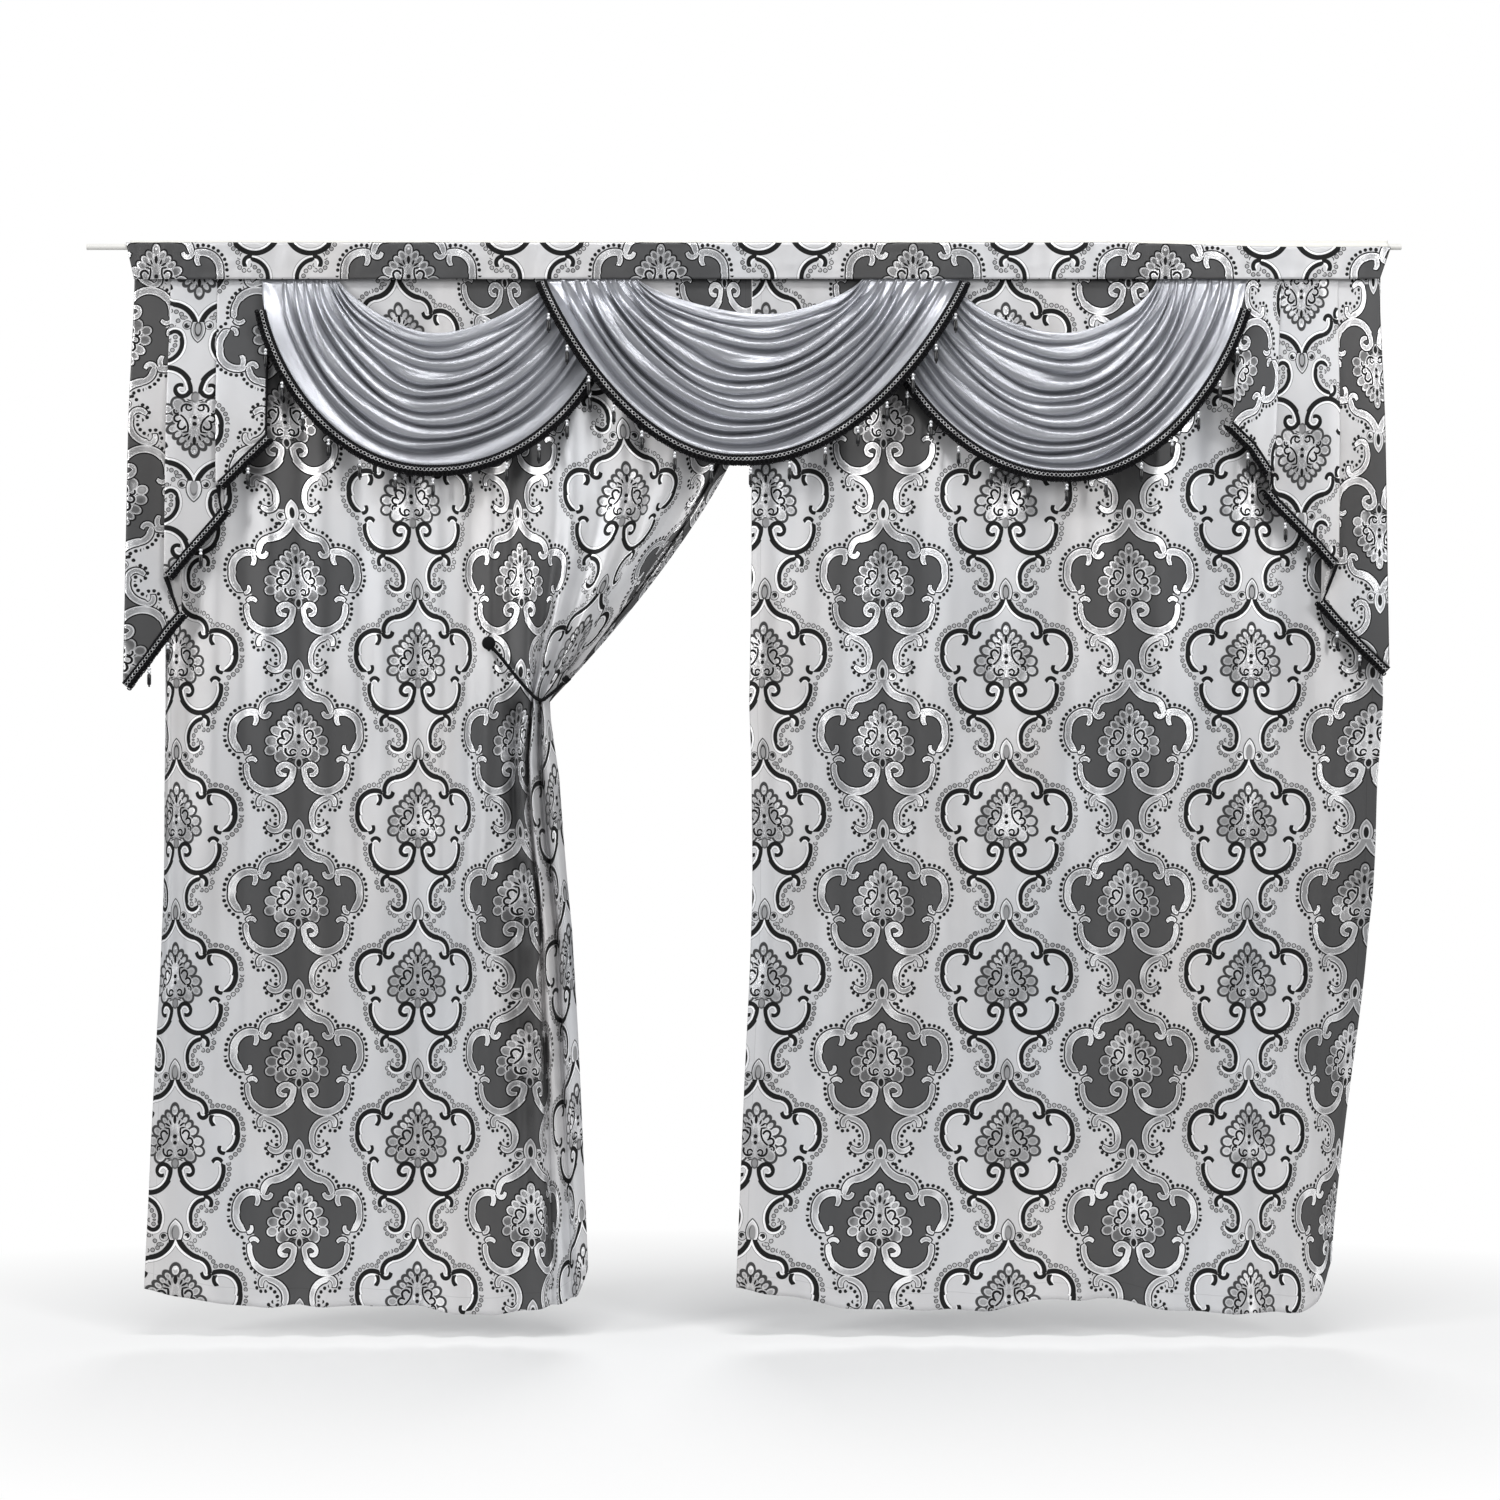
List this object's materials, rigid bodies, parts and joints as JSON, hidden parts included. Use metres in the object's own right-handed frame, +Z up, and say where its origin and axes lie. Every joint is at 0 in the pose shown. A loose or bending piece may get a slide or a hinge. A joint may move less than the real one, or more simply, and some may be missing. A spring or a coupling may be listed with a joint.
{
  "type": "blackout curtains with swag valance and rod",
  "caption": "Pair of tall damask jacquard curtains on a rod, one tied back, under a valance of satin swags, slanting tails and black beaded braid.",
  "frame": {"origin": "on the rod's axis, at the middle of the valance", "axes": "+X along the rod to the right of someone facing the curtains from the room, -Y to the room, +Z up"},
  "size_m": [3.079, 0.1154, 2.519],
  "materials": {
    "jacquard": "silver-grey satin ground with charcoal, black and metallic silver damask",
    "satin": "blue-grey satin with a soft sheen",
    "lining": "plain cream lining cloth",
    "trim": "black looped braid with a silver chain and beads",
    "rod_paint": "cream paint, half gloss"
  },
  "bodies": {
    "root": {"rod": "rod_paint", "header_casing": "lining", "header_band": "jacquard", "curtain_left": "jacquard", "curtain_right": "jacquard", "swag_left": "satin", "swag_middle": "satin", "swag_right": "satin", "braid_swag_left": "trim", "braid_swag_middle": "trim", "braid_swag_right": "trim", "tail_left": "jacquard", "tail_right": "jacquard", "braid_tail_left_upper": "trim", "braid_tail_left_middle": "trim", "braid_tail_left_lower": "trim", "braid_tail_right_upper": "trim", "braid_tail_right_middle": "trim", "braid_tail_right_lower": "trim", "tie_button": "trim", "tie_cord": "trim", "tie_knot": "trim"}
  },
  "joints": []
}
